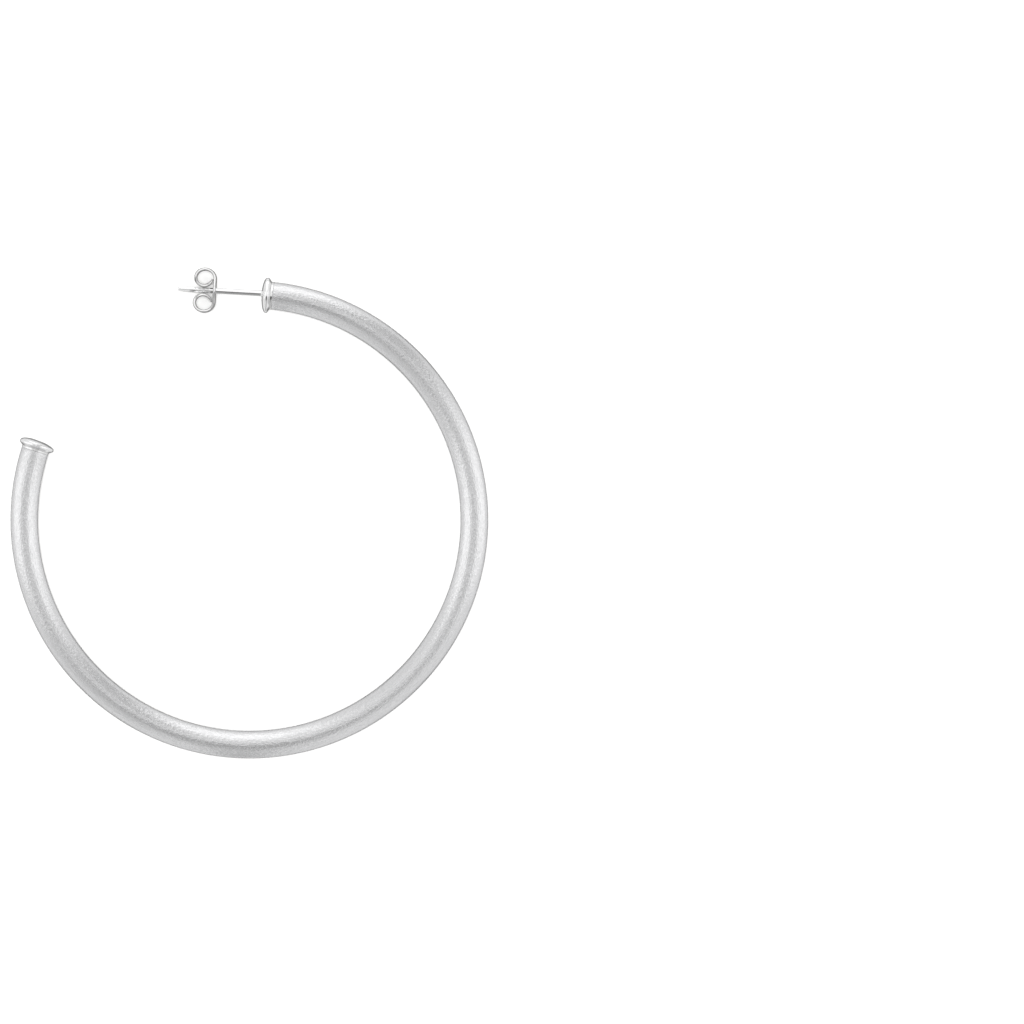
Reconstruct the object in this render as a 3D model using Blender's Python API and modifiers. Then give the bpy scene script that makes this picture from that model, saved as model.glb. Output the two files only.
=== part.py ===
"""A large hoop earring of satin silver tube with a post and a butterfly back.

It lies on its side, as it would on a table: the hoop is level, its lowest side touches the
floor at z = 0, and the origin is under the middle of its bounding box. Metres, +Z up.
Angles round the hoop count from +X, anticlockwise seen from above.
"""

from math import asin, cos, pi, radians, sin, sqrt

import bmesh
import bpy
from mathutils import Matrix, Vector

# Hoop tube
HOOP_DIAMETER = 0.0635  # over the outside of the tube
TUBE_DIAMETER = 0.00365
TUBE_WALL = 0.0004
POST_FACE_ANGLE = radians(86.8)  # where the post collar's face stands on the hoop
FREE_FACE_ANGLE = radians(159.5)  # where the end collar's face stands

# Collars, the turned caps on both ends of the tube
COLLAR_FOOT = 0.00035  # plain length next to the tube, flush with it
COLLAR_COVE = 0.00032  # length over which the hollow flare widens to the rim
RIM_LIP = 0.0005  # how far the rim stands out past the tube
RIM_ROUND = 0.00016
DOME_HEIGHT = 0.00062  # from the widest of the rim to the flat of the face
LAND_MARGIN = 0.0003  # flat left on the face round the foot of the post
SPIGOT_LENGTH = 0.0012
SPIGOT_CLEARANCE = 0.00008  # all round, in the bore
SPIGOT_CHAMFER = 0.00015
JOINT_GAP = 0.00004  # between the tube's end and the collar's foot

# Ear post
POST_DIAMETER = 0.00072
POST_LENGTH = 0.01115  # from the collar's face to the tip
POST_OFFSET = 0.0002  # from the face's middle, away from the hoop's centre
POST_ROOT = 0.0006  # soldered length inside the collar
POST_TIP_ROUND = 0.00012

# Butterfly back, one strip with both ends curled round
STRIP_THICKNESS = 0.00038
PLATE_WIDTH = 0.0042  # of the strip at the post's hole
WING_WIDTH = 0.0031  # of the strip at its curls
PLATE_BLEND = 0.0026  # distance from the hole over which the plate narrows to the wings
CURL_RADIUS = 0.00131  # to the middle of the strip, where a curl starts
CURL_TURN = radians(345)
CURL_GAP = 0.00005  # between the end of a curl and the plate
BACK_CLEARANCE = 0.00005  # from the post to the hole's wall and to the curls
POST_BEYOND_BACK = 0.00226  # length of post that shows past the curls

# Facets
TUBE_SIDES = 24
TUBE_STEPS = 72
ARC_STEPS = 4  # along each quarter arc of a turned profile
POST_SIDES = 16
STRIP_STEPS = 60
SHARP_ANGLE = radians(35)  # faces that meet at less than this are shaded as one surface
MERGE_DISTANCE = 1e-7
CUTTER_MARGIN = 0.0004  # how far a cutter stands past what it cuts

# Derived sizes
TUBE_RADIUS = TUBE_DIAMETER / 2
HOOP_RADIUS = HOOP_DIAMETER / 2 - TUBE_RADIUS  # to the middle of the tube
POST_RADIUS = POST_DIAMETER / 2
COLLAR_LENGTH = COLLAR_FOOT + COLLAR_COVE + RIM_ROUND + DOME_HEIGHT
COLLAR_ANGLE = COLLAR_LENGTH / HOOP_RADIUS
GAP_ANGLE = JOINT_GAP / HOOP_RADIUS
CURL_STEP = (STRIP_THICKNESS + CURL_GAP) / (2 * pi)  # radius that a curl loses per radian
CURL_LOWEST = CURL_RADIUS - CURL_STEP * 1.5 * pi + STRIP_THICKNESS / 2  # beside the post
CURL_HEIGHT = POST_RADIUS + BACK_CLEARANCE + CURL_LOWEST  # of a curl's centre over the post
CURL_LENGTH = CURL_RADIUS * CURL_TURN - CURL_STEP * CURL_TURN**2 / 2
BACK_DEPTH = STRIP_THICKNESS + 2 * CURL_RADIUS - CURL_STEP * pi
LOBE_GAP = POST_LENGTH - POST_BEYOND_BACK - BACK_DEPTH  # from the collar's face to the plate

SATIN_SILVER = {"color": (0.74, 0.74, 0.75, 1.0), "roughness": 0.42}
POLISHED_SILVER = {"color": (0.83, 0.83, 0.84, 1.0), "roughness": 0.12}


def clear_scene():
    for obj in list(bpy.data.objects):
        bpy.data.objects.remove(obj, do_unlink=True)


def new_collection(name):
    collection = bpy.data.collections.new(name)
    bpy.context.scene.collection.children.link(collection)
    return collection


def metal(name, look):
    material = bpy.data.materials.new(name)
    material.use_nodes = True
    shader = material.node_tree.nodes["Principled BSDF"]
    shader.inputs["Base Color"].default_value = look["color"]
    shader.inputs["Roughness"].default_value = look["roughness"]
    shader.inputs["Metallic"].default_value = 1.0
    return material


def new_object(name, mesh, collection, material=None):
    obj = bpy.data.objects.new(name, mesh)
    collection.objects.link(obj)
    if material:
        mesh.materials.append(material)
        mesh.shade_smooth()
        mesh.set_sharp_from_angle(angle=SHARP_ANGLE)
    return obj


def new_helper(name, mesh, collection, frame):
    """A shape that only cuts or joins another, and isn't rendered."""
    obj = new_object(name, mesh, collection)
    obj.matrix_world = frame
    obj.hide_render = True
    obj.display_type = "WIRE"
    return obj


def add_boolean(obj, operation, other):
    boolean = obj.modifiers.new(operation.lower(), "BOOLEAN")
    boolean.operation = operation
    boolean.solver = "EXACT"
    boolean.object = other


def add_screw(obj, angle, steps):
    screw = obj.modifiers.new("turn", "SCREW")
    screw.axis = "Z"
    screw.angle = angle
    screw.steps = steps
    screw.render_steps = steps
    screw.use_merge_vertices = True
    screw.merge_threshold = MERGE_DISTANCE


def arc(centre, radii, start, end):
    """Points (height, radius) of an elliptic arc in a turned profile, without the first."""
    turns = [start + (end - start) * step / ARC_STEPS for step in range(1, ARC_STEPS + 1)]
    return [(centre[0] + radii[0] * cos(a), centre[1] + radii[1] * sin(a)) for a in turns]


def turned(profile, sides, collection):
    """A closed mesh turned about Z from (height, radius) points that run from top to bottom."""
    points = [(radius, 0, height) for height, radius in profile]
    outline = bpy.data.meshes.new("outline")
    outline.from_pydata(points, [(i, i + 1) for i in range(len(points) - 1)], [])
    obj = new_object("outline", outline, collection)
    add_screw(obj, 2 * pi, sides)
    bpy.context.view_layer.update()
    graph = bpy.context.evaluated_depsgraph_get()
    mesh = bpy.data.meshes.new_from_object(obj.evaluated_get(graph))
    bpy.data.objects.remove(obj, do_unlink=True)
    return mesh


def hoop_frame(angle, offset=0.0):
    """A frame on the tube's centre line: X away from the hoop's centre, Z along the tube."""
    out = Vector((cos(angle), sin(angle), 0))
    along = Vector((-sin(angle), cos(angle), 0))
    frame = Matrix((out, along.cross(out), along)).transposed().to_4x4()
    frame.translation = out * (HOOP_RADIUS + offset)
    return frame


def collar_profile():
    """From the middle of the face over the dome, the rim and the cove to the spigot's end."""
    land = POST_OFFSET + POST_RADIUS + LAND_MARGIN
    rim = TUBE_RADIUS + RIM_LIP
    rim_height = COLLAR_LENGTH - DOME_HEIGHT
    land_turn = asin(land / rim)
    spigot = TUBE_RADIUS - TUBE_WALL - SPIGOT_CLEARANCE
    cove = (COLLAR_COVE, RIM_LIP - RIM_ROUND)
    return [
        (COLLAR_LENGTH, 0),
        (COLLAR_LENGTH, land),
        *arc((rim_height, 0), (DOME_HEIGHT / cos(land_turn), rim), land_turn, pi / 2),
        *arc((rim_height, rim - RIM_ROUND), (RIM_ROUND, RIM_ROUND), pi / 2, pi),
        *arc((COLLAR_FOOT, rim - RIM_ROUND), cove, 0, -pi / 2),
        (0, TUBE_RADIUS),
        (0, spigot),
        (SPIGOT_CHAMFER - SPIGOT_LENGTH, spigot),
        (-SPIGOT_LENGTH, spigot - SPIGOT_CHAMFER),
        (-SPIGOT_LENGTH, 0),
    ]


def bent_on_hoop(mesh, joint_angle, direction):
    """Bends a mesh turned about Z so that its axis follows the hoop from the tube's joint."""
    for vert in mesh.vertices:
        out, side, along = vert.co
        radius = HOOP_RADIUS + out
        angle = joint_angle + direction * along / HOOP_RADIUS
        # The side turns over with the direction, so that neither end is mirrored.
        vert.co = (radius * cos(angle), radius * sin(angle), -direction * side)


def make_hoop_tube(collection, material):
    shape = bmesh.new()
    place = Matrix.Translation((HOOP_RADIUS, 0, 0)) @ Matrix.Rotation(pi / 2, 4, "X")
    bmesh.ops.create_circle(shape, segments=TUBE_SIDES, radius=TUBE_RADIUS, matrix=place)
    outline = bpy.data.meshes.new("hoop_tube")
    shape.to_mesh(outline)
    shape.free()
    tube = new_object("hoop_tube", outline, collection, material)
    start = FREE_FACE_ANGLE + COLLAR_ANGLE + GAP_ANGLE - 2 * pi
    end = POST_FACE_ANGLE - COLLAR_ANGLE - GAP_ANGLE
    tube.rotation_euler.z = start
    add_screw(tube, end - start, TUBE_STEPS)
    wall = tube.modifiers.new("wall", "SOLIDIFY")
    wall.thickness = TUBE_WALL
    wall.offset = -1
    wall.use_even_offset = True
    return tube


def make_collar(name, face_angle, direction, collection, material):
    """One turned cap. direction is 1 where it looks anticlockwise along the hoop, else -1."""
    mesh = turned(collar_profile(), TUBE_SIDES, collection)
    bent_on_hoop(mesh, face_angle - direction * COLLAR_ANGLE, direction)
    return new_object(name, mesh, collection, material)


def make_post(collection, frame):
    side = POST_RADIUS - POST_TIP_ROUND
    tip = arc((POST_LENGTH - POST_TIP_ROUND, side), (POST_TIP_ROUND, POST_TIP_ROUND), 0, pi / 2)
    profile = [(POST_LENGTH, 0), (POST_LENGTH, side), *tip, (-POST_ROOT, POST_RADIUS), (-POST_ROOT, 0)]
    return new_helper("ear_post", turned(profile, POST_SIDES, collection), collection, frame)


def strip_point(distance):
    """(out, along) of the strip's middle, at a signed distance along it from the post's axis."""
    side = 1 if distance > 0 else -1
    length = abs(distance) - CURL_HEIGHT
    if length <= 0:
        return distance, STRIP_THICKNESS / 2
    turn = (CURL_RADIUS - sqrt(CURL_RADIUS**2 - 2 * CURL_STEP * length)) / CURL_STEP
    radius = CURL_RADIUS - CURL_STEP * turn
    along = STRIP_THICKNESS / 2 + CURL_RADIUS - radius * cos(turn)
    return side * (CURL_HEIGHT + radius * sin(turn)), along


def strip_width(distance):
    share = min(abs(distance) / PLATE_BLEND, 1)
    return WING_WIDTH + (PLATE_WIDTH - WING_WIDTH) * (1 + cos(pi * share)) / 2


def make_post_hole(collection, frame):
    shape = bmesh.new()
    bmesh.ops.create_cone(
        shape,
        cap_ends=True,
        segments=POST_SIDES,
        radius1=POST_RADIUS + BACK_CLEARANCE,
        radius2=POST_RADIUS + BACK_CLEARANCE,
        depth=STRIP_THICKNESS + 2 * CUTTER_MARGIN,
        matrix=Matrix.Translation((0, 0, STRIP_THICKNESS / 2)),
    )
    mesh = bpy.data.meshes.new("post_hole")
    shape.to_mesh(mesh)
    shape.free()
    return new_helper("post_hole", mesh, collection, frame)


def make_back(collection, material, frame):
    """The strip, with its own Z along the post from the plate's face."""
    shape = bmesh.new()
    bmesh.ops.create_grid(shape, x_segments=STRIP_STEPS, y_segments=1, size=0.5)
    for vert in shape.verts:
        distance = vert.co.x * 2 * (CURL_HEIGHT + CURL_LENGTH)
        out, along = strip_point(distance)
        vert.co = (out, vert.co.y * strip_width(distance), along)
    mesh = bpy.data.meshes.new("butterfly_back")
    shape.to_mesh(mesh)
    shape.free()
    back = new_object("butterfly_back", mesh, collection, material)
    back.matrix_world = frame
    sheet = back.modifiers.new("sheet", "SOLIDIFY")
    sheet.thickness = STRIP_THICKNESS
    sheet.offset = 0
    sheet.use_even_offset = True
    return back


def lowest_and_highest(objects):
    bpy.context.view_layer.update()
    graph = bpy.context.evaluated_depsgraph_get()
    points = []
    for obj in objects:
        evaluated = obj.evaluated_get(graph)
        points += [obj.matrix_world @ vert.co for vert in evaluated.to_mesh().vertices]
        evaluated.to_mesh_clear()
    axes = list(zip(*points))
    return Vector(map(min, axes)), Vector(map(max, axes))


def stand_on_floor(name, pieces, helpers, collection):
    """Parents all to one empty, placed so that the origin is under the middle of the pieces."""
    low, high = lowest_and_highest(pieces)
    root = new_object(name, None, collection)
    for obj in pieces + helpers:
        obj.parent = root
    root.location = (-(low.x + high.x) / 2, -(low.y + high.y) / 2, -low.z)


def main():
    clear_scene()
    collection = new_collection("hoop_earring")
    helpers = new_collection("helpers")
    satin = metal("satin_silver", SATIN_SILVER)
    polished = metal("polished_silver", POLISHED_SILVER)
    tube = make_hoop_tube(collection, satin)
    post_collar = make_collar("post_collar", POST_FACE_ANGLE, 1, collection, polished)
    end_collar = make_collar("end_collar", FREE_FACE_ANGLE, -1, collection, satin)
    post_frame = hoop_frame(POST_FACE_ANGLE, POST_OFFSET)
    add_boolean(post_collar, "UNION", make_post(helpers, post_frame))
    back_frame = post_frame @ Matrix.Translation((0, 0, LOBE_GAP))
    back = make_back(collection, polished, back_frame)
    add_boolean(back, "DIFFERENCE", make_post_hole(helpers, back_frame))
    pieces = [tube, post_collar, end_collar, back]
    stand_on_floor("earring_centre", pieces, list(helpers.objects), collection)


main()
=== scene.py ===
"""The looks of a large satin silver hoop earring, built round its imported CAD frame.

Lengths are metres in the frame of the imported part, where the hoop lies level and +Z is up.
Angles round the hoop count from +X, anticlockwise seen from above. A turned piece is drawn
as a section, a line of (distance from the tube's centre line, distance along the tube).
"""

import logging
from dataclasses import astuple, dataclass, field
from enum import Enum
from math import acos, cos, pi, radians, sin, tan
from typing import Any

import bmesh
import bpy
from mathutils import Matrix, Vector


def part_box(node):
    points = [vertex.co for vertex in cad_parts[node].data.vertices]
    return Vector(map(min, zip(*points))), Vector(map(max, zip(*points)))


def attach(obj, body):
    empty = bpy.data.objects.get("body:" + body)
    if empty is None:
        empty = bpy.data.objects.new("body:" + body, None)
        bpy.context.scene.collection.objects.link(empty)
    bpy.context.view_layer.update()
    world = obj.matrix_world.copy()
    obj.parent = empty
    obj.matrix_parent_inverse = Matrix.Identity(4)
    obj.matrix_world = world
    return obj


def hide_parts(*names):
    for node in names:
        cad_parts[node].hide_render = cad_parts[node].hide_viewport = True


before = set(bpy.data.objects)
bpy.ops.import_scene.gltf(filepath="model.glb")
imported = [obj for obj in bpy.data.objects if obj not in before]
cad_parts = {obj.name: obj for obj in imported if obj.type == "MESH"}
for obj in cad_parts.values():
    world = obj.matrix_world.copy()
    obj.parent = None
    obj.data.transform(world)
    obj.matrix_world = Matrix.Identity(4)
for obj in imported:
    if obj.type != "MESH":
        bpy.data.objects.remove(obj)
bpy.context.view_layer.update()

LOG = logging.getLogger("hoop_earring")
MILLIMETRE = 0.001
WELD_DISTANCE = 1e-7  # points nearer than this are one point
SHARP_ANGLE = radians(32)  # faces that meet at more than this keep a crisp edge
WEAR_AND_PAINTED_SHADE = ("burnish", "crevice")  # the attributes that tell a finish where it is rubbed bright and where it gets painted shade


class Body(Enum):
    """The bodies of the frame that the pieces ride on."""

    HOOP = "hoop"
    BACK = "back"


class Slot(Enum):
    """The record's material slots."""

    SATIN = "satin_silver"
    POLISHED = "polished_silver"


class End(Enum):
    """Which way an end of the hoop looks: 1 is anticlockwise along the hoop."""

    POST = 1
    FREE = -1


def linear(code: str) -> tuple[float, float, float, float]:
    """Turns an sRGB hex colour to linear red, green, blue and alpha.

    Args:
        code: The colour as #RRGGBB.

    Returns:
        The four values that a shader's colour socket takes.
    """
    shares = [int(code[start : start + 2], 16) / 255 for start in (1, 3, 5)]
    light = [c / 12.92 if c <= 0.04045 else ((c + 0.055) / 1.055) ** 2.4 for c in shares]
    return (*light, 1.0)


def add_node(
    tree: bpy.types.NodeTree, kind: str, inputs: dict | None = None, **settings: Any
) -> bpy.types.Node:
    """Adds a node with its settings, its constant inputs and its links.

    Args:
        tree: The tree that gets the node.
        kind: The node's type name.
        inputs: Sockets by name or number, each with a constant or the output that feeds it.
        settings: Properties of the node itself.

    Returns:
        The new node.
    """
    node = tree.nodes.new(kind)
    for name, value in settings.items():
        setattr(node, name, value)
    for key, value in (inputs or {}).items():
        if isinstance(value, bpy.types.NodeSocket):
            tree.links.new(value, node.inputs[key])
        else:
            node.inputs[key].default_value = value
    return node


# Finishes


@dataclass(frozen=True)
class Silver:
    """What both finishes share: sterling silver, cast or drawn, never quite one tone."""

    name: str
    bright: str  # of the metal where it is clean
    dull: str  # of the metal where it is a little tarnished
    crevice: str  # colour of the painted shade in corners, joints, bores and along the back's edges
    smooth: float  # lowest roughness
    rough: float  # highest roughness
    burnished: float  # roughness where wear has rubbed an edge bright

    def height(self, tree: bpy.types.NodeTree) -> tuple[bpy.types.NodeSocket, bpy.types.NodeSocket]:
        """Overridden by each finish: its relief, and the pattern that varies its tone."""
        raise NotImplementedError

    def relief(self) -> float:
        """Overridden by each finish: the depth of its relief, in metres."""
        raise NotImplementedError

    def material(self) -> bpy.types.Material:
        """Builds the finish's node material.

        Returns:
            The material, with its tone, roughness and bump from its own pattern, and painted shade mixed into
            its colour where the mesh asks for it.
        """
        material = bpy.data.materials.new(self.name)
        material.use_nodes = True
        tree = material.node_tree
        shader = tree.nodes["Principled BSDF"]
        shader.inputs["Metallic"].default_value = 1.0
        height, tone = self.height(tree)
        crevice = add_node(tree, "ShaderNodeAttribute", attribute_name="crevice")
        burnish = add_node(tree, "ShaderNodeAttribute", attribute_name="burnish")
        clean = {"Factor": tone, "A": linear(self.dull), "B": linear(self.bright)}
        metal = add_node(tree, "ShaderNodeMix", clean, data_type="RGBA")
        # Painted shade: where the mesh's shade attribute is high, the base colour darkens to the finish's
        # shade colour.
        painted_shade_mix = add_node(
            tree,
            "ShaderNodeMix",
            {"Factor": crevice.outputs["Fac"], "A": metal.outputs["Result"], "B": linear(self.crevice)},
            data_type="RGBA",
        )
        gloss = add_node(
            tree, "ShaderNodeMapRange", {"Value": tone, "To Min": self.rough, "To Max": self.smooth}
        )
        rubbed = add_node(
            tree,
            "ShaderNodeMix",
            {"Factor": burnish.outputs["Fac"], "A": gloss.outputs["Result"], "B": self.burnished},
            data_type="FLOAT",
        )
        relief = {"Strength": 1.0, "Distance": self.relief(), "Height": height}
        bump = add_node(tree, "ShaderNodeBump", relief)
        tree.links.new(painted_shade_mix.outputs["Result"], shader.inputs["Base Color"])
        tree.links.new(rubbed.outputs["Result"], shader.inputs["Roughness"])
        tree.links.new(bump.outputs["Normal"], shader.inputs["Normal"])
        return material


@dataclass(frozen=True)
class SatinSilver(Silver):
    """Drawn sterling silver, brushed along its length and bead blasted.

    It gives the eye a soft white glow with fine streaks along the tube and a pebbled grain
    where light turns to dark. The real grain is about 0.05 mm, too fine to show, so it is
    drawn as coarse as it shows in the photograph.
    """

    streak_length: float = 1.7 * MILLIMETRE
    streak_width: float = 0.18 * MILLIMETRE
    streak_detail: float = 3.0  # octaves of the noise
    pebble_length: float = 0.37 * MILLIMETRE
    pebble_width: float = 0.22 * MILLIMETRE
    pebble_detail: float = 2.0
    pebble_share: float = 0.6  # of the relief, the rest is streaks
    depth: float = 0.075 * MILLIMETRE
    tone_low: float = 0.36  # the grain's height where the metal is dull
    tone_high: float = 0.64  # the grain's height where it is bright

    def relief(self) -> float:
        """The depth of the brushed grain."""
        return self.depth

    def height(self, tree: bpy.types.NodeTree) -> tuple[bpy.types.NodeSocket, bpy.types.NodeSocket]:
        """Makes the streaks and pebbles, in the coordinates of the straight drawn tube.

        Args:
            tree: The material's tree.

        Returns:
            The relief and the tone pattern.
        """
        drawn = add_node(tree, "ShaderNodeAttribute", attribute_name="drawn")
        grains = []
        for length, width, detail in (
            (self.streak_length, self.streak_width, self.streak_detail),
            (self.pebble_length, self.pebble_width, self.pebble_detail),
        ):
            stretch = {"Vector": drawn.outputs["Vector"], "Scale": (1 / length, 1 / width, 1 / width)}
            stretched = add_node(tree, "ShaderNodeMapping", stretch, vector_type="POINT")
            noise = {"Vector": stretched.outputs["Vector"], "Scale": 1.0, "Detail": detail}
            grains.append(add_node(tree, "ShaderNodeTexNoise", noise).outputs["Fac"])
        shares = {"Factor": self.pebble_share, "A": grains[0], "B": grains[1]}
        height = add_node(tree, "ShaderNodeMix", shares, data_type="FLOAT").outputs["Result"]
        span = {"Value": height, "From Min": self.tone_low, "From Max": self.tone_high}
        tone = add_node(tree, "ShaderNodeMapRange", span)
        return height, tone.outputs["Result"]


@dataclass(frozen=True)
class TumbledSilver(SatinSilver):
    """Cast sterling silver, tumbled with steel shot until it is smooth.

    It gives the eye a soft bright gloss with hardly any grain, with painted shade a little darker in the
    corners.
    """

    depth: float = 0.015 * MILLIMETRE


@dataclass(frozen=True)
class PolishedSilver(Silver):
    """Sterling silver turned or stamped, then polished on a wheel.

    It gives the eye sharp white and black stripes, a little softened by hairlines from
    handling, which here are 0.12 mm apart.
    """

    hairline_length: float = 1.1 * MILLIMETRE
    hairline_width: float = 0.12 * MILLIMETRE
    hairline_turns: tuple[float, float] = (radians(25), radians(-70))
    hairline_detail: float = 2.0  # octaves of the noise
    crossing_share: float = 0.5  # of the relief that the second direction has
    depth: float = 0.0002 * MILLIMETRE

    def relief(self) -> float:
        """The depth of the hairlines."""
        return self.depth

    def height(self, tree: bpy.types.NodeTree) -> tuple[bpy.types.NodeSocket, bpy.types.NodeSocket]:
        """Makes hairlines that cross each other in two directions.

        Args:
            tree: The material's tree.

        Returns:
            The relief and the tone pattern.
        """
        place = add_node(tree, "ShaderNodeTexCoord").outputs["Object"]
        spread = (self.hairline_length, self.hairline_width, self.hairline_width)
        lines = []
        for turn in self.hairline_turns:
            stretch = {"Vector": place, "Rotation": (0, 0, turn), "Scale": spread}
            stretched = add_node(tree, "ShaderNodeMapping", stretch, vector_type="TEXTURE")
            noise = {"Vector": stretched.outputs["Vector"], "Scale": 1.0, "Detail": self.hairline_detail}
            lines.append(add_node(tree, "ShaderNodeTexNoise", noise).outputs["Fac"])
        shares = {"Factor": self.crossing_share, "A": lines[0], "B": lines[1]}
        height = add_node(tree, "ShaderNodeMix", shares, data_type="FLOAT")
        return height.outputs["Result"], lines[0]


# Shapes


@dataclass(frozen=True)
class HoopLine:
    """The circle that the tube's centre line follows, found from the frame."""

    centre: Vector
    radius: float

    @classmethod
    def from_frame(cls, tube_radius: float) -> "HoopLine":
        """Reads the circle from the tube's CAD node, whose widest span is the hoop's diameter.

        Args:
            tube_radius: Outside radius of the tube.

        Returns:
            The circle, in the frame.
        """
        low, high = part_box("hoop_tube")
        half = (high.x - low.x) / 2
        centre = Vector((low.x + half, low.y + half, (low.z + high.z) / 2))
        return cls(centre, half - tube_radius)

    def place(self, angle: float, offset: float = 0.0) -> Matrix:
        """Gives the frame of a cross-section of the tube.

        Args:
            angle: Where on the hoop.
            offset: Distance outwards from the centre line.

        Returns:
            A matrix with X away from the hoop's centre and Z along the hoop.
        """
        out = Vector((cos(angle), sin(angle), 0))
        along = Vector((-sin(angle), cos(angle), 0))
        matrix = Matrix((out, along.cross(out), along)).transposed().to_4x4()
        matrix.translation = self.centre + out * (self.radius + offset)
        return matrix


@dataclass(frozen=True)
class SectionPoint:
    """A point of a turned section, with how worn bright the metal is there and how much painted shade it
    gets.
    """

    radius: float
    along: float
    burnish: float = 0.0
    # share of painted shade that darkens the metal's colour here
    crevice: float = 0.0


def arc(
    centre: tuple[float, float],
    radii: tuple[float, float],
    start: float,
    end: float,
    steps: int,
    **wear_and_shade: float,
) -> list[SectionPoint]:
    """Gives an elliptic arc of a section, without its first point.

    Args:
        centre: (radius, along) of the ellipse's centre.
        radii: Its half axes, across and along.
        start: Angle of the first point, from the outward direction.
        end: Angle of the last point.
        steps: Number of points.
        wear_and_shade: The points' burnish and painted shade.

    Returns:
        The points in order.
    """
    turns = [start + (end - start) * step / steps for step in range(1, steps + 1)]
    return [SectionPoint(centre[0] + radii[0] * cos(a), centre[1] + radii[1] * sin(a), **wear_and_shade) for a in turns]


def run(start: SectionPoint, end: SectionPoint, steps: int) -> list[SectionPoint]:
    """Gives a straight run of a section in equal steps, without its first point.

    Args:
        start: The point before the run.
        end: The run's last point.
        steps: Number of points.

    Returns:
        The points in order, their burnish and painted shade changing evenly too.
    """
    spans = list(zip(astuple(start), astuple(end)))
    shares = [step / steps for step in range(1, steps + 1)]
    return [SectionPoint(*(a + (b - a) * share for a, b in spans)) for share in shares]


def turning_tree() -> bpy.types.NodeTree:
    """Builds the node tree that turns a section round the tube's centre line and bends it on the hoop.

    The section's points hold (radius, along). Curve to Mesh turns them round a circle, Set
    Position bends the straight turned piece on the hoop, and the coordinates of the straight
    piece stay on the mesh, in metres, for the grain.

    Returns:
        The geometry node tree.
    """
    tree = bpy.data.node_groups.new("turned_and_bent_on_the_hoop", "GeometryNodeTree")
    sockets = {
        "Section": "NodeSocketGeometry",
        "Sides": "NodeSocketInt",
        "Hoop Radius": "NodeSocketFloat",
        "Hoop Centre": "NodeSocketVector",
        "Start Angle": "NodeSocketFloat",
        "Direction": "NodeSocketFloat",
        "Weld Distance": "NodeSocketFloat",
        "Metal": "NodeSocketMaterial",
    }
    for name, kind in sockets.items():
        tree.interface.new_socket(name, in_out="INPUT", socket_type=kind)
    tree.interface.new_socket("Piece", in_out="OUTPUT", socket_type="NodeSocketGeometry")
    given = add_node(tree, "NodeGroupInput").outputs

    def calc(operation: str, first: Any, second: Any = 0.0) -> bpy.types.NodeSocket:
        """One arithmetic step of the bend."""
        return add_node(tree, "ShaderNodeMath", {0: first, 1: second}, operation=operation).outputs[0]

    section = add_node(tree, "GeometryNodeMeshToCurve", {"Mesh": given["Section"]})
    drawn_section = add_node(tree, "GeometryNodeCaptureAttribute", {"Geometry": section.outputs["Curve"]})
    drawn_section.capture_items.new("VECTOR", "Drawn")
    position = add_node(tree, "GeometryNodeInputPosition")
    tree.links.new(position.outputs["Position"], drawn_section.inputs["Drawn"])
    # The circle's radius may be any, because Set Position puts each point in its place.
    round_path = {"Resolution": given["Sides"], "Radius": MILLIMETRE}
    circle = add_node(tree, "GeometryNodeCurvePrimitiveCircle", round_path, mode="RADIUS")
    turned_circle = add_node(tree, "GeometryNodeCaptureAttribute", {"Geometry": circle.outputs["Curve"]})
    turned_circle.capture_items.new("FLOAT", "Turn")
    parameter = add_node(tree, "GeometryNodeSplineParameter")
    tree.links.new(parameter.outputs["Factor"], turned_circle.inputs["Turn"])
    skin = add_node(
        tree,
        "GeometryNodeCurveToMesh",
        {"Curve": turned_circle.outputs["Geometry"], "Profile Curve": drawn_section.outputs["Geometry"]},
    )
    point = add_node(tree, "ShaderNodeSeparateXYZ", {"Vector": drawn_section.outputs["Drawn"]}).outputs
    turn = calc("MULTIPLY", turned_circle.outputs["Turn"], 2 * pi)
    out = calc("MULTIPLY", point["X"], calc("COSINE", turn))
    side = calc("MULTIPLY", point["X"], calc("SINE", turn))
    travel = calc("MULTIPLY", given["Direction"], calc("DIVIDE", point["Y"], given["Hoop Radius"]))
    angle = calc("ADD", given["Start Angle"], travel)
    reach = calc("ADD", given["Hoop Radius"], out)
    bent = add_node(
        tree,
        "ShaderNodeCombineXYZ",
        {
            "X": calc("MULTIPLY", reach, calc("COSINE", angle)),
            "Y": calc("MULTIPLY", reach, calc("SINE", angle)),
            "Z": calc("MULTIPLY", side, calc("MULTIPLY", given["Direction"], -1.0)),
        },
    )
    places = {0: bent.outputs[0], 1: given["Hoop Centre"]}
    placed = add_node(tree, "ShaderNodeVectorMath", places, operation="ADD")
    hoop = add_node(
        tree, "GeometryNodeSetPosition", {"Geometry": skin.outputs["Mesh"], "Position": placed.outputs[0]}
    )
    straight = add_node(tree, "ShaderNodeCombineXYZ", {"X": point["Y"], "Y": out, "Z": side})
    marked = add_node(
        tree,
        "GeometryNodeStoreNamedAttribute",
        {"Geometry": hoop.outputs["Geometry"], "Name": "drawn", "Value": straight.outputs[0]},
        data_type="FLOAT_VECTOR",
        domain="POINT",
    )
    welded = add_node(
        tree,
        "GeometryNodeMergeByDistance",
        {"Geometry": marked.outputs["Geometry"], "Distance": given["Weld Distance"]},
    )
    smooth = add_node(tree, "GeometryNodeSetShadeSmooth", {"Geometry": welded.outputs["Geometry"]})
    real = add_node(tree, "GeometryNodeRealizeInstances", {"Geometry": smooth.outputs["Geometry"]})
    dressed = add_node(
        tree, "GeometryNodeSetMaterial", {"Geometry": real.outputs["Geometry"], "Material": given["Metal"]}
    )
    add_node(tree, "NodeGroupOutput", {"Piece": dressed.outputs["Geometry"]})
    return tree


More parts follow.
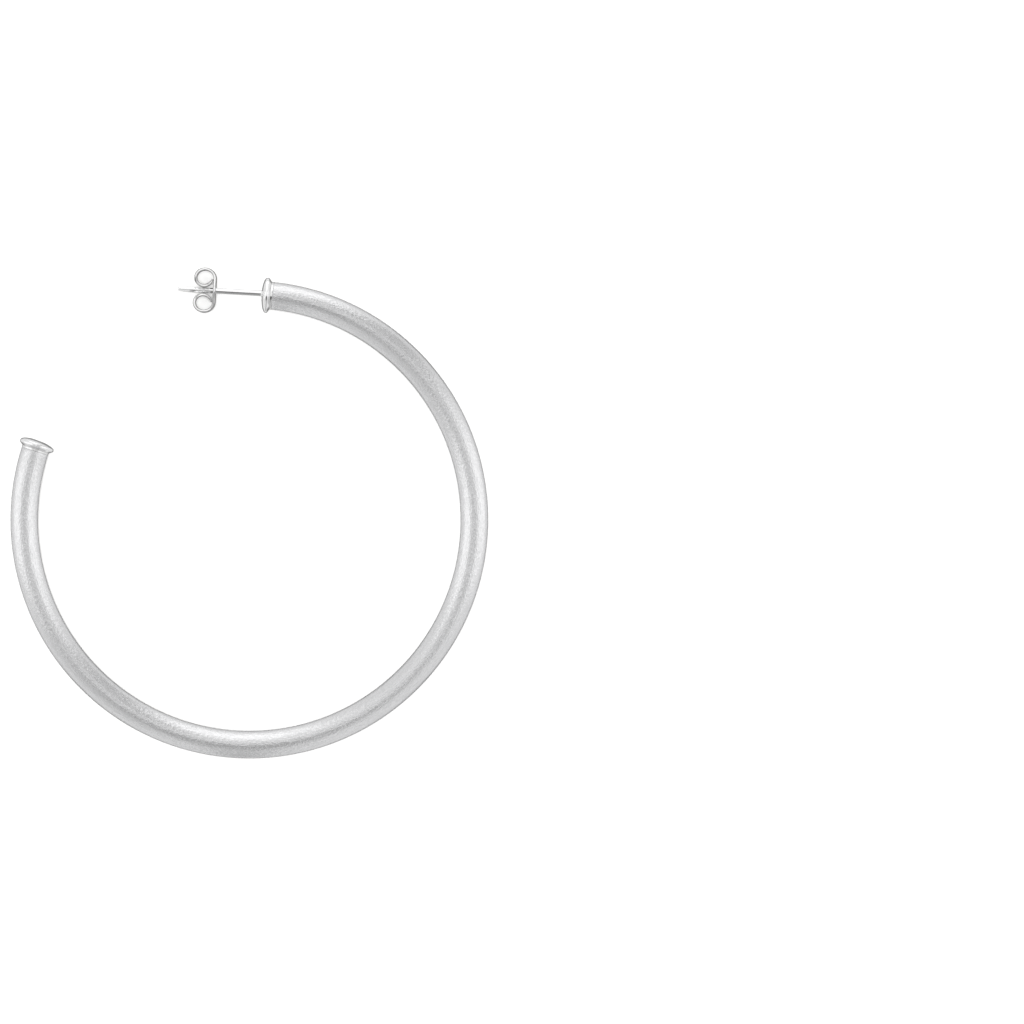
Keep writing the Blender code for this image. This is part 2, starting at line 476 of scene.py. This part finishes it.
def plain_mesh(obj: bpy.types.Object, name: str) -> bpy.types.Mesh:
    """Turns an object, with its modifiers, into one mesh whose faces point outwards.

    Args:
        obj: The object, which is removed.
        name: Name of the mesh.

    Returns:
        The mesh, in the frame.
    """
    bpy.context.view_layer.update()
    graph = bpy.context.evaluated_depsgraph_get()
    mesh = bpy.data.meshes.new_from_object(
        obj.evaluated_get(graph), preserve_all_data_layers=True, depsgraph=graph
    )
    mesh.transform(obj.matrix_world)
    mesh.name = name
    bpy.data.objects.remove(obj, do_unlink=True)
    shape = bmesh.new()
    shape.from_mesh(mesh)
    if shape.calc_volume(signed=True) < 0:
        bmesh.ops.reverse_faces(shape, faces=shape.faces)
    shape.to_mesh(mesh)
    shape.free()
    return mesh


def new_object(name: str, mesh: bpy.types.Mesh) -> bpy.types.Object:
    """Links a new object to the scene.

    Args:
        name: Name of the object.
        mesh: Its mesh.

    Returns:
        The object, at the origin.
    """
    obj = bpy.data.objects.new(name, mesh)
    bpy.context.scene.collection.objects.link(obj)
    return obj


def section_line(name: str, points: list[SectionPoint], closed: bool) -> bpy.types.Object:
    """Draws a section as a line mesh that carries its burnish and painted shade.

    Args:
        name: Name of the object.
        points: The section's points in order.
        closed: Whether the last point joins the first.

    Returns:
        The line's object.
    """
    mesh = bpy.data.meshes.new(name)
    edges = [(index, index + 1) for index in range(len(points) - 1)]
    if closed:
        edges.append((len(points) - 1, 0))
    mesh.from_pydata([(point.radius, point.along, 0) for point in points], edges, [])
    for attribute in WEAR_AND_PAINTED_SHADE:
        layer = mesh.attributes.new(attribute, "FLOAT", "POINT")
        layer.data.foreach_set("value", [getattr(point, attribute) for point in points])
    return new_object(name, mesh)


@dataclass
class TurningLathe:
    """Turns sections on the hoop's centre line with the node tree."""

    line: HoopLine
    tree: bpy.types.NodeTree = field(default_factory=turning_tree)

    def turn(
        self,
        name: str,
        points: list[SectionPoint],
        closed: bool,
        start_angle: float,
        end: End,
        sides: int,
        metal: bpy.types.Material,
    ) -> bpy.types.Mesh:
        """Turns one section and bends it on the hoop.

        Args:
            name: Name of the mesh.
            points: The section's points, in the order of its outline.
            closed: Whether the section is a closed loop, as a tube's wall is.
            start_angle: Where on the hoop the section's along is zero.
            end: The direction in which along grows.
            sides: Number of facets round the tube.
            metal: The finish.

        Returns:
            The piece's mesh, in the frame.
        """
        obj = section_line(name, points, closed)
        modifier = obj.modifiers.new("turning", "NODES")
        modifier.node_group = self.tree
        values = {
            "Sides": sides,
            "Hoop Radius": self.line.radius,
            "Hoop Centre": self.line.centre,
            "Start Angle": start_angle,
            "Direction": float(end.value),
            "Weld Distance": WELD_DISTANCE,
            "Metal": metal,
        }
        for item in self.tree.interface.items_tree:
            if item.in_out == "INPUT" and item.name in values:
                modifier[item.identifier] = values[item.name]
        return plain_mesh(obj, name)


def straight_turned(name: str, points: list[SectionPoint], sides: int, place: Matrix) -> bpy.types.Object:
    """Turns a section round a straight axis of its own.

    Args:
        name: Name of the object.
        points: The section from one end of the axis to the other.
        sides: Number of facets.
        place: The axis, as the Z of this matrix.

    Returns:
        The closed piece, with its place in its mesh.
    """
    shape = bmesh.new()
    # A boolean's two pieces need the same attributes.
    for attribute in WEAR_AND_PAINTED_SHADE:
        shape.verts.layers.float.new(attribute)
    rings = []
    for point in points:
        count = sides if point.radius > WELD_DISTANCE else 1
        turns = [2 * pi * index / count for index in range(count)]
        spots = [(point.radius * cos(a), point.radius * sin(a), point.along) for a in turns]
        rings.append([shape.verts.new(spot) for spot in spots])
    for lower, upper in zip(rings, rings[1:]):
        for index in range(sides):
            following = (index + 1) % sides
            corners = [lower[index % len(lower)], lower[following % len(lower)]]
            corners += [upper[following % len(upper)], upper[index % len(upper)]]
            shape.faces.new(list(dict.fromkeys(corners)))
    bmesh.ops.recalc_face_normals(shape, faces=shape.faces)
    shape.transform(place)
    mesh = bpy.data.meshes.new(name)
    shape.to_mesh(mesh)
    shape.free()
    return new_object(name, mesh)


def combine(obj: bpy.types.Object, operation: str, other: bpy.types.Object) -> bpy.types.Mesh:
    """Joins or cuts one closed piece with another.

    Args:
        obj: The piece.
        operation: UNION or DIFFERENCE.
        other: What joins or cuts it, which is removed.

    Returns:
        The new mesh.
    """
    boolean = obj.modifiers.new("combine", "BOOLEAN")
    boolean.operation = operation
    boolean.solver = "EXACT"
    boolean.object = other
    mesh = plain_mesh(obj, obj.name)
    bpy.data.objects.remove(other, do_unlink=True)
    return mesh


def wipe_wear_and_painted_shade(mesh: bpy.types.Mesh, place: Matrix, reach: float, lowest: float) -> None:
    """Clears the burnish and painted shade near an axis, where a boolean leaves values from unrelated points.

    Args:
        mesh: The piece.
        place: The axis, as the Z of this matrix.
        reach: How far from the axis.
        lowest: Where along the axis it starts.
    """
    inverse = place.inverted()
    for vertex in mesh.vertices:
        local = inverse @ vertex.co
        if local.z > lowest and local.xy.length < reach:
            for attribute in WEAR_AND_PAINTED_SHADE:
                mesh.attributes[attribute].data[vertex.index].value = 0.0


def dress(
    name: str, mesh: bpy.types.Mesh, metal: bpy.types.Material, node: str, body: Body
) -> None:
    """Shows a finished piece in place of its CAD node.

    Args:
        name: Name of the piece.
        mesh: Its mesh, in the frame.
        metal: Its finish.
        node: The CAD node that it stands for.
        body: The body that it rides on.
    """
    mesh.materials.clear()
    mesh.materials.append(metal)
    mesh.shade_smooth()
    mesh.set_sharp_from_angle(angle=SHARP_ANGLE)
    piece = new_object(name, mesh)
    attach(piece, body.value)
    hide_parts(node)
    LOG.info("%s: %d faces, stands for %s, rides on %s", name, len(mesh.polygons), node, body.value)


# Pieces


@dataclass
class HoopTube:
    """The hollow satin tube, bent to an open hoop between its two collars."""

    lathe: TurningLathe
    metal: bpy.types.Material
    radius: float
    start: float
    end: float
    wall: float = 0.4 * MILLIMETRE
    lip_round: float = 0.03 * MILLIMETRE
    lip_burnish: float = 0.4
    # share of painted shade on the inner lips
    lip_crevice: float = 0.6
    sides: int = 72
    outer_steps: int = 400
    inner_steps: int = 120
    lip_steps: int = 3

    def section(self) -> list[SectionPoint]:
        """Draws the wall's outline along the whole tube.

        Returns:
            The closed outline: outside, one lip, bore, other lip.
        """
        length = (self.end - self.start) * self.lathe.line.radius
        bore = self.radius - self.wall
        lip = self.lip_round
        outside = SectionPoint(self.radius, lip)
        # The bore and the inner lips get painted shade.
        inside = SectionPoint(bore, length - lip, crevice=1.0)
        points = [outside, *run(outside, SectionPoint(self.radius, length - lip), self.outer_steps)]
        outer, inner = self.radius - lip, bore + lip
        worn, shaded_lips = {"burnish": self.lip_burnish}, {"crevice": self.lip_crevice}
        points += arc((outer, length - lip), (lip, lip), 0, pi / 2, self.lip_steps, **worn)
        points += arc((inner, length - lip), (lip, lip), pi / 2, pi, self.lip_steps, **shaded_lips)
        points += run(inside, SectionPoint(bore, lip, crevice=1.0), self.inner_steps)
        points += arc((inner, lip), (lip, lip), pi, 1.5 * pi, self.lip_steps, **shaded_lips)
        points += arc((outer, lip), (lip, lip), 1.5 * pi, 2 * pi, self.lip_steps, **worn)
        return points[:-1]  # the last point is the first one again

    def build(self) -> None:
        """Turns, bends and dresses the tube."""
        name = "satin_hoop_tube"
        mesh = self.lathe.turn(name, self.section(), True, self.start, End.POST, self.sides, self.metal)
        dress(name, mesh, self.metal, "hoop_tube", Body.HOOP)


@dataclass
class Collar:
    """The turned cap on an end of the tube: domed face, rim, slope, plain foot and spigot."""

    lathe: TurningLathe
    metal: bpy.types.Material
    tube_radius: float
    bore: float
    land: float  # radius of the flat in the middle of the face
    length: float = 1.45 * MILLIMETRE  # from the tube's joint to the flat of the face
    rim_lip: float = 0.5 * MILLIMETRE
    rim_band: float = 0.18 * MILLIMETRE
    rim_round: float = 0.12 * MILLIMETRE
    slope: float = radians(55)  # between the slope under the rim and the tube
    dome: float = 0.58 * MILLIMETRE
    foot_round: float = 0.03 * MILLIMETRE
    spigot_length: float = 1.2 * MILLIMETRE
    spigot_clearance: float = 0.08 * MILLIMETRE
    spigot_chamfer: float = 0.15 * MILLIMETRE
    face_burnish: float = 0.35
    corner_crevice: float = 0.25  # painted shade where the slope meets the foot
    joint_crevice: float = 0.3  # painted shade where the foot meets the tube
    dome_steps: int = 18
    band_steps: int = 2
    rim_steps: int = 6
    slope_steps: int = 6
    foot_steps: int = 4
    joint_steps: int = 3
    sides: int = 96

    def section(self) -> list[SectionPoint]:
        """Draws the outline from the middle of the face to the middle of the spigot's end.

        Returns:
            The open outline.
        """
        rim = self.tube_radius + self.rim_lip
        rim_height = self.length - self.dome
        land_turn = acos(self.land / rim)
        neck = rim - self.rim_round
        spigot = self.bore - self.spigot_clearance
        edge = self.tube_radius - self.foot_round
        points = [SectionPoint(0, self.length), SectionPoint(self.land, self.length)]
        radii = (rim, self.dome / sin(land_turn))
        points += arc((0, rim_height), radii, land_turn, 0, self.dome_steps, burnish=self.face_burnish)
        under = rim_height - self.rim_band
        points += run(points[-1], SectionPoint(rim, under, burnish=1.0), self.band_steps)
        radii = (self.rim_round, self.rim_round)
        points += arc((neck, under), radii, 0, -self.slope, self.rim_steps, burnish=1.0)
        last = points[-1]
        drop = (last.radius - self.tube_radius) / tan(self.slope)
        # Painted shade darkens the corner under the slope and the joint with the tube.
        corner = SectionPoint(self.tube_radius, last.along - drop, crevice=self.corner_crevice)
        points += run(last, corner, self.slope_steps)
        points += run(corner, SectionPoint(self.tube_radius, self.foot_round), self.foot_steps)
        centre, radii = (edge, self.foot_round), (self.foot_round, self.foot_round)
        points += arc(centre, radii, 0, -pi / 2, self.joint_steps, crevice=self.joint_crevice)
        # The spigot, inside the tube, is all painted shade.
        points += [
            SectionPoint(spigot, 0, crevice=1.0),
            SectionPoint(spigot, self.spigot_chamfer - self.spigot_length, crevice=1.0),
            SectionPoint(spigot - self.spigot_chamfer, -self.spigot_length, crevice=1.0),
            SectionPoint(0, -self.spigot_length, crevice=1.0),
        ]
        return points

    def turn(self, name: str, face_angle: float, end: End) -> bpy.types.Mesh:
        """Turns the collar and bends it on the hoop.

        Args:
            name: Name of the mesh.
            face_angle: Where on the hoop the face stands.
            end: Which end of the hoop it closes.

        Returns:
            The collar's mesh.
        """
        joint = face_angle - end.value * self.length / self.lathe.line.radius
        return self.lathe.turn(name, self.section(), False, joint, end, self.sides, self.metal)


@dataclass
class EarPost:
    """The straight pin through the ear, soldered to the post collar's face."""

    diameter: float = 0.72 * MILLIMETRE
    length: float = 11.15 * MILLIMETRE
    offset: float = 0.2 * MILLIMETRE  # outwards from the middle of the collar's face
    root: float = 0.6 * MILLIMETRE  # soldered length inside the collar
    solder: float = 0.13 * MILLIMETRE  # size of the solder's fillet round the foot
    solder_reach: float = 1.3  # where the plain shaft starts, in sizes of the fillet
    taper: float = 1.6 * MILLIMETRE  # length over which the tip narrows
    tip_share: float = 0.84  # the tip's diameter as a share of the post's
    tip_round: float = 0.2 * MILLIMETRE
    solder_steps: int = 6
    shaft_steps: int = 12
    taper_steps: int = 6
    tip_steps: int = 8
    sides: int = 48

    def shape(self, place: Matrix) -> bpy.types.Object:
        """Turns the post.

        Args:
            place: The collar's face, with Z along the post.

        Returns:
            The closed post, with its place in its mesh.
        """
        radius = self.diameter / 2
        tip = radius * self.tip_share
        foot = SectionPoint(radius, self.solder * self.solder_reach)
        shoulder = SectionPoint(radius, self.length - self.taper)
        points = [SectionPoint(0, -self.root), SectionPoint(radius + self.solder, -self.root)]
        centre, radii = (radius + self.solder, self.solder), (self.solder, self.solder)
        points += arc(centre, radii, 1.5 * pi, pi, self.solder_steps)
        points += [foot, *run(foot, shoulder, self.shaft_steps)]
        points += run(shoulder, SectionPoint(tip, self.length - self.tip_round), self.taper_steps)
        centre, radii = (tip - self.tip_round, self.length - self.tip_round), (self.tip_round, self.tip_round)
        points += arc(centre, radii, 0, pi / 2, self.tip_steps)
        points.append(SectionPoint(0, self.length))
        return straight_turned("ear_post", points, self.sides, place)


@dataclass
class ButterflyBack:
    """The friction back: one stamped strip with a pierced plate and both ends curled round."""

    metal: bpy.types.Material
    post: EarPost
    thickness: float = 0.38 * MILLIMETRE
    plate_width: float = 4.2 * MILLIMETRE
    wing_width: float = 3.1 * MILLIMETRE
    end_width: float = 1.8 * MILLIMETRE
    plate_blend: float = 2.6 * MILLIMETRE  # over which the plate narrows to the wings
    end_blend: float = 3.4 * MILLIMETRE  # over which a wing narrows to its end
    curl_radius: float = 1.31 * MILLIMETRE  # to the strip's middle, where a curl starts
    curl_turn: float = radians(357)
    curl_stretch: float = 1.075  # how much longer a curl is along the post than across it
    curl_gap: float = 0.05 * MILLIMETRE  # between a curl's end and the plate
    clearance: float = 0.05 * MILLIMETRE  # round the post
    post_beyond: float = 2.08 * MILLIMETRE  # length of the post past the curls
    edge_round: float = 0.11 * MILLIMETRE
    painted_outline_width: float = 0.12 * MILLIMETRE  # width of the painted dark outline along each edge of the strip's faces
    tip_thickness: float = 0.2 * MILLIMETRE  # of the strip's ends, thinned so that the curls close
    tip_length: float = 0.8 * MILLIMETRE  # over which the strip thins towards its ends
    tip_draw: tuple[float, float] = (0.55, 0.12)  # how far the last rings draw in, in edge rounds
    hole_flare: float = 0.07 * MILLIMETRE
    curl_steps: int = 168
    plate_steps: int = 12
    corner_steps: int = 5
    hole_sides: int = 48

    @property
    def curl_step(self) -> float:
        """Radius that a curl loses for each radian."""
        return (self.thickness + self.curl_gap) / (2 * pi)

    @property
    def curl_height(self) -> float:
        """Distance from the post's axis to the middle of a curl."""
        lowest = self.curl_radius - self.curl_step * 1.5 * pi + self.thickness / 2
        return self.post.diameter / 2 + self.clearance + lowest

    @property
    def depth(self) -> float:
        """From the plate's face to the back of the curls."""
        return self.thickness + (2 * self.curl_radius - self.curl_step * pi) * self.curl_stretch

    @property
    def half_length(self) -> float:
        """Length of the strip from the post's axis to one end."""
        return self.curl_height + self.curl_radius * self.curl_turn - self.curl_step * self.curl_turn**2 / 2

    def stations(self) -> list[tuple[float, float, float, float]]:
        """Follows the strip's middle from the plate to the end of one curl.

        Returns:
            (out, along, turn of the strip, distance from the post's axis) for each station.
        """
        middle = self.thickness / 2
        flat = [self.curl_height * step / self.plate_steps for step in range(1, self.plate_steps)]
        found = [(out, middle, 0.0, out) for out in flat]
        for step in range(self.curl_steps + 1):
            turn = self.curl_turn * step / self.curl_steps
            radius = self.curl_radius - self.curl_step * turn
            travel = self.curl_radius * turn - self.curl_step * turn**2 / 2
            out = self.curl_height + radius * sin(turn)
            along = middle + (self.curl_radius - radius * cos(turn)) * self.curl_stretch
            found.append((out, along, turn, self.curl_height + travel))
        return found

    def width(self, distance: float) -> float:
        """Gives the strip's width, wide at the plate and narrow at its ends.

        Args:
            distance: From the post's axis, along the strip.

        Returns:
            The width there.
        """
        near = min(distance / self.plate_blend, 1)
        far = min(max(distance - self.half_length + self.end_blend, 0) / self.end_blend, 1)
        plate = (self.plate_width - self.wing_width) * (1 + cos(pi * near)) / 2
        return self.wing_width + plate - (self.wing_width - self.end_width) * (1 - cos(pi * far)) / 2

    def thinning(self, distance: float) -> float:
        """Gives how much thinner the strip is, on the inside of its curl.

        Args:
            distance: From the post's axis, along the strip.

        Returns:
            The thickness that is missing there.
        """
        far = min(max(distance - self.half_length + self.tip_length, 0) / self.tip_length, 1)
        return (self.thickness - self.tip_thickness) * (1 - cos(pi * far)) / 2

    def ring(self, half_width: float, thinning: float, shrink: float) -> list[tuple[float, float, float]]:
        """Draws the strip's rounded cross-section.

        Args:
            half_width: Half of the strip's width there.
            thinning: What is missing of its thickness, on the inside of its curl.
            shrink: How far the outline is drawn in, near the strip's ends.

        Returns:
            (through the strip, across the strip, share of painted shade) for each point, in order.
        """
        half = (self.thickness - thinning) / 2
        edge = min(self.edge_round, half)
        across = half_width - edge
        radius = edge - min(shrink, edge / 2)
        points = []
        for quarter, (a, b) in enumerate(((1, 1), (-1, 1), (-1, -1), (1, -1))):
            through = thinning / 2 + a * (half - edge)
            corner = []
            for step in range(self.corner_steps + 1):
                turn = (quarter + step / self.corner_steps) * pi / 2
                # The painted outline is darkest where a face meets its rounded edge.
                corner.append((through + radius * cos(turn), b * across + radius * sin(turn), abs(cos(turn))))
            clean = (through + a * radius, b * (across - self.painted_outline_width), 0.0)
            points += corner + [clean] if quarter % 2 else [clean] + corner
        return points

    def strip(self, place: Matrix) -> bpy.types.Object:
        """Sweeps the rounded cross-section along the strip.

        Args:
            place: The plate's face, with Z along the post.

        Returns:
            The closed strip without its hole, with its place in its mesh.
        """
        wing = self.stations()
        middle = [(0.0, self.thickness / 2, 0.0, 0.0)]
        path = [(-out, along, -turn, far) for out, along, turn, far in reversed(wing)] + middle + wing
        shape = bmesh.new()
        shape.verts.layers.float.new("burnish")
        # Painted shade: a dark outline along each edge of the strip's faces.
        painted_outline = shape.verts.layers.float.new("crevice")
        rings = []
        for index, (out, along, turn, far) in enumerate(path):
            # The last rings at each end draw in, so that the cut edge is rounded.
            from_end = min(index, len(path) - 1 - index)
            shrink = self.edge_round * self.tip_draw[from_end] if from_end < len(self.tip_draw) else 0.0
            corners = []
            for through, across, dark in self.ring(self.width(far) / 2, self.thinning(far), shrink):
                corner = shape.verts.new((out + sin(turn) * through, across, along - cos(turn) * through))
                corner[painted_outline] = dark
                corners.append(corner)
            rings.append(corners)
        for first, second in zip(rings, rings[1:]):
            for index, corner in enumerate(first):
                following = (index + 1) % len(first)
                shape.faces.new((corner, first[following], second[following], second[index]))
        shape.faces.new(rings[0])
        shape.faces.new(rings[-1])
        bmesh.ops.recalc_face_normals(shape, faces=shape.faces)
        shape.transform(place)
        mesh = bpy.data.meshes.new("polished_butterfly_back")
        shape.to_mesh(mesh)
        shape.free()
        return new_object("polished_butterfly_back", mesh)

    def hole(self, place: Matrix) -> bpy.types.Object:
        """Turns the cutter of the post's hole, flared at both faces.

        Args:
            place: The plate's face, with Z along the post.

        Returns:
            The closed cutter.
        """
        radius = self.post.diameter / 2 + self.clearance
        margin = self.thickness
        wide = radius + self.hole_flare + margin
        points = [
            SectionPoint(0, -margin),
            SectionPoint(wide, -margin),
            SectionPoint(radius, self.hole_flare),
            SectionPoint(radius, self.thickness - self.hole_flare),
            SectionPoint(wide, self.thickness + margin),
            SectionPoint(0, self.thickness + margin),
        ]
        return straight_turned("post_hole", points, self.hole_sides, place)

    def build(self, face: Matrix) -> None:
        """Makes the back where it sits on the post, and dresses it.

        Args:
            face: The collar's face, with Z along the post.
        """
        lobe_gap = self.post.length - self.post_beyond - self.depth
        place = face @ Matrix.Translation((0, 0, lobe_gap))
        mesh = combine(self.strip(place), "DIFFERENCE", self.hole(place))
        wipe_wear_and_painted_shade(mesh, place, self.post.diameter, -self.thickness)
        dress("polished_butterfly_back", mesh, self.metal, "butterfly_back", Body.BACK)


@dataclass
class Earring:
    """The whole earring, from a few driving sizes and the frame."""

    tube_diameter: float = 3.65 * MILLIMETRE
    joint_gap: float = 0.012 * MILLIMETRE
    land_margin: float = 0.3 * MILLIMETRE
    post_face: float = radians(86.8)
    free_face: float = radians(159.5)

    def build(
        self, satin: bpy.types.Material, tumbled: bpy.types.Material, polished: bpy.types.Material
    ) -> HoopLine:
        """Builds every piece in its place.

        Args:
            satin: The brushed finish.
            tumbled: The free end's finish.
            polished: The wheel polished finish.

        Returns:
            The hoop's centre line, for the camera.
        """
        radius = self.tube_diameter / 2
        line = HoopLine.from_frame(radius)
        lathe = TurningLathe(line)
        post = EarPost()
        land = post.offset + post.diameter / 2 + self.land_margin
        bore = radius - HoopTube.wall
        end_collar = Collar(lathe, tumbled, radius, bore, land)
        post_collar = Collar(lathe, polished, radius, bore, land)
        reach = (end_collar.length + self.joint_gap) / line.radius
        HoopTube(lathe, satin, radius, self.free_face + reach - 2 * pi, self.post_face - reach).build()
        mesh = end_collar.turn("satin_end_collar", self.free_face, End.FREE)
        dress("satin_end_collar", mesh, tumbled, "end_collar", Body.HOOP)
        face = line.place(self.post_face, post.offset)
        cap = new_object("polished_post_collar", post_collar.turn("post_collar", self.post_face, End.POST))
        mesh = combine(cap, "UNION", post.shape(face))
        wipe_wear_and_painted_shade(mesh, face, post.diameter, WELD_DISTANCE)
        dress("polished_post_collar", mesh, polished, "post_collar", Body.HOOP)
        ButterflyBack(polished, post).build(face)
        return line


# Studio


@dataclass(frozen=True)
class Softbox:
    """A soft-edged rectangle of light, or a black card, in the dome round the object."""

    azimuth: float  # degrees from +X, anticlockwise
    elevation: float  # degrees above the floor
    half_width: float  # degrees
    half_height: float  # degrees
    fade: float  # degrees over which its edge fades out
    radiance: float  # what it adds to the dome, less than zero for a black card

    def axes(self) -> tuple[Vector, Vector, Vector]:
        """Works out how the box is turned.

        Returns:
            The directions to its right, to its top and to its middle.
        """
        turn, rise = radians(self.azimuth), radians(self.elevation)
        right = Vector((-sin(turn), cos(turn), 0))
        middle = Vector((cos(rise) * cos(turn), cos(rise) * sin(turn), sin(rise)))
        return right, middle.cross(right), middle

    def patch(self, tree: bpy.types.NodeTree, direction: bpy.types.NodeSocket) -> bpy.types.NodeSocket:
        """Adds the nodes that say what the box adds in a direction.

        Args:
            tree: The world's tree.
            direction: The direction looked at.

        Returns:
            The radiance that the box adds there.
        """
        right, top, middle = self.axes()
        total: bpy.types.NodeSocket | float = self.radiance
        for axis, half in ((right, self.half_width), (top, self.half_height), (middle, None)):
            share = add_node(tree, "ShaderNodeVectorMath", {0: direction, 1: axis}, operation="DOT_PRODUCT")
            seen = share.outputs["Value"]
            if half is None:
                edges = {"From Min": 0.0, "From Max": sin(radians(self.fade))}
            else:
                seen = add_node(tree, "ShaderNodeMath", {0: seen}, operation="ABSOLUTE").outputs[0]
                outside = min(half + self.fade, 90)
                edges = {"From Min": sin(radians(outside)), "From Max": sin(radians(half))}
            edges["Value"] = seen
            mask = add_node(tree, "ShaderNodeMapRange", edges, interpolation_type="SMOOTHSTEP")
            factors = {0: total, 1: mask.outputs["Result"]}
            total = add_node(tree, "ShaderNodeMath", factors, operation="MULTIPLY").outputs[0]
        return total


@dataclass
class Studio:
    """A pale floor, a dome of soft light and the photograph's camera."""

    image_size: int = 1024
    hoop_centre_pixel: tuple[float, float] = (249.3, 519.6)
    pixels_per_metre: float = 7525.0
    lens: float = 400.0
    sensor: float = 36.0
    floor_radius: float = 1.6
    floor_sides: int = 96
    floor_roughness: float = 0.9
    floor_colour: str = "#F8F8F7"
    dome_radiance: float = 0.875
    dome_lowest: float = 0.03
    overhead_irradiance: float = 1.9
    overhead_spread: float = radians(12)
    softboxes: tuple[Softbox, ...] = (
        Softbox(azimuth=84, elevation=16, half_width=13, half_height=19, fade=20, radiance=0.57),
        Softbox(azimuth=90, elevation=64, half_width=5, half_height=18, fade=5, radiance=0.32),
        Softbox(azimuth=177, elevation=28, half_width=13, half_height=29, fade=6, radiance=0.44),
        Softbox(azimuth=5, elevation=24, half_width=10, half_height=30, fade=17, radiance=0.4),
        Softbox(azimuth=144, elevation=88, half_width=3, half_height=3, fade=2, radiance=0.35),
        Softbox(azimuth=-93, elevation=22, half_width=2.6, half_height=59, fade=2.6, radiance=-0.53),
        Softbox(azimuth=-81, elevation=68, half_width=30, half_height=7, fade=10, radiance=-0.18),
        Softbox(azimuth=56, elevation=34, half_width=6, half_height=30, fade=8, radiance=-0.5),
        Softbox(azimuth=-138, elevation=59, half_width=6, half_height=40, fade=26, radiance=-0.17),
        Softbox(azimuth=0, elevation=-90, half_width=26, half_height=26, fade=14, radiance=-0.6),
    )

    def dome(self) -> None:
        """Builds the world as the sum of its soft patches."""
        world = bpy.data.worlds.new("studio_dome")
        bpy.context.scene.world = world
        world.use_nodes = True
        tree = world.node_tree
        direction = add_node(tree, "ShaderNodeTexCoord").outputs["Generated"]
        total: bpy.types.NodeSocket | float = self.dome_radiance
        for box in self.softboxes:
            patch = box.patch(tree, direction)
            total = add_node(tree, "ShaderNodeMath", {0: total, 1: patch}, operation="ADD").outputs[0]
        floored = add_node(tree, "ShaderNodeMath", {0: total, 1: self.dome_lowest}, operation="MAXIMUM")
        tree.links.new(floored.outputs[0], tree.nodes["Background"].inputs["Strength"])
        tree.nodes["Background"].inputs["Color"].default_value = (1.0, 1.0, 1.0, 1.0)

    def overhead(self) -> None:
        """Hangs a soft light over the floor, which keeps the floor white and isn't mirrored."""
        light = bpy.data.lights.new("overhead", "SUN")
        light.energy = self.overhead_irradiance
        light.angle = self.overhead_spread
        lamp = bpy.data.objects.new("overhead", light)
        lamp.visible_glossy = False
        bpy.context.scene.collection.objects.link(lamp)

    def floor(self) -> None:
        """Lays the pale matt floor."""
        shape = bmesh.new()
        bmesh.ops.create_circle(shape, cap_ends=True, segments=self.floor_sides, radius=self.floor_radius)
        mesh = bpy.data.meshes.new("pale_floor")
        shape.to_mesh(mesh)
        shape.free()
        paper = bpy.data.materials.new("matt_white_paper")
        paper.use_nodes = True
        shader = paper.node_tree.nodes["Principled BSDF"]
        shader.inputs["Base Color"].default_value = linear(self.floor_colour)
        shader.inputs["Roughness"].default_value = self.floor_roughness
        shader.inputs["Specular IOR Level"].default_value = 0.0
        mesh.materials.append(paper)
        floor = new_object("pale_floor", mesh)
        # The metal mirrors the dome under the horizon too, so its edges keep a grey outline.
        floor.visible_glossy = False

    def camera(self, line: HoopLine) -> None:
        """Puts the camera straight above, where the photograph's middle is.

        Args:
            line: The hoop's centre line.
        """
        data = bpy.data.cameras.new("camera")
        data.lens = self.lens
        data.sensor_width = self.sensor
        view = self.image_size / self.pixels_per_metre
        across = (self.image_size / 2 - self.hoop_centre_pixel[0]) / self.pixels_per_metre
        up = (self.hoop_centre_pixel[1] - self.image_size / 2) / self.pixels_per_metre
        camera = bpy.data.objects.new("camera", data)
        camera.location = line.centre + Vector((across, up, view * self.lens / self.sensor))
        bpy.context.scene.collection.objects.link(camera)
        bpy.context.scene.camera = camera

    def build(self, line: HoopLine) -> None:
        """Sets the floor, the lights and the camera.

        Args:
            line: The hoop's centre line.
        """
        self.dome()
        self.overhead()
        self.floor()
        self.camera(line)
        bpy.context.scene.view_settings.view_transform = "Standard"


def main() -> None:
    """Builds the earring's pieces and the studio."""
    logging.basicConfig(level=logging.INFO, format="%(name)s: %(message)s")
    # Each finish's third colour is the painted shade for corners, joints, bores and the back's edges.
    satin = SatinSilver(
        name="brushed_sterling_silver",
        bright="#E4E4E5",
        dull="#D6D6D7",
        crevice="#9C9A97",
        smooth=0.22,
        rough=0.33,
        burnished=0.2,
    ).material()
    tumbled = TumbledSilver(
        name="tumbled_sterling_silver",
        bright="#F4F4F4",
        dull="#EAEAEB",
        crevice="#A09E9B",
        smooth=0.17,
        rough=0.25,
        burnished=0.12,
    ).material()
    polished = PolishedSilver(
        name="wheel_polished_sterling_silver",
        bright="#F6F6F6",
        dull="#EFEFEF",
        crevice="#5C5A57",
        smooth=0.06,
        rough=0.12,
        burnished=0.05,
    ).material()
    line = Earring().build(satin, tumbled, polished)
    Studio().build(line)


if __name__ == "__main__":
    main()
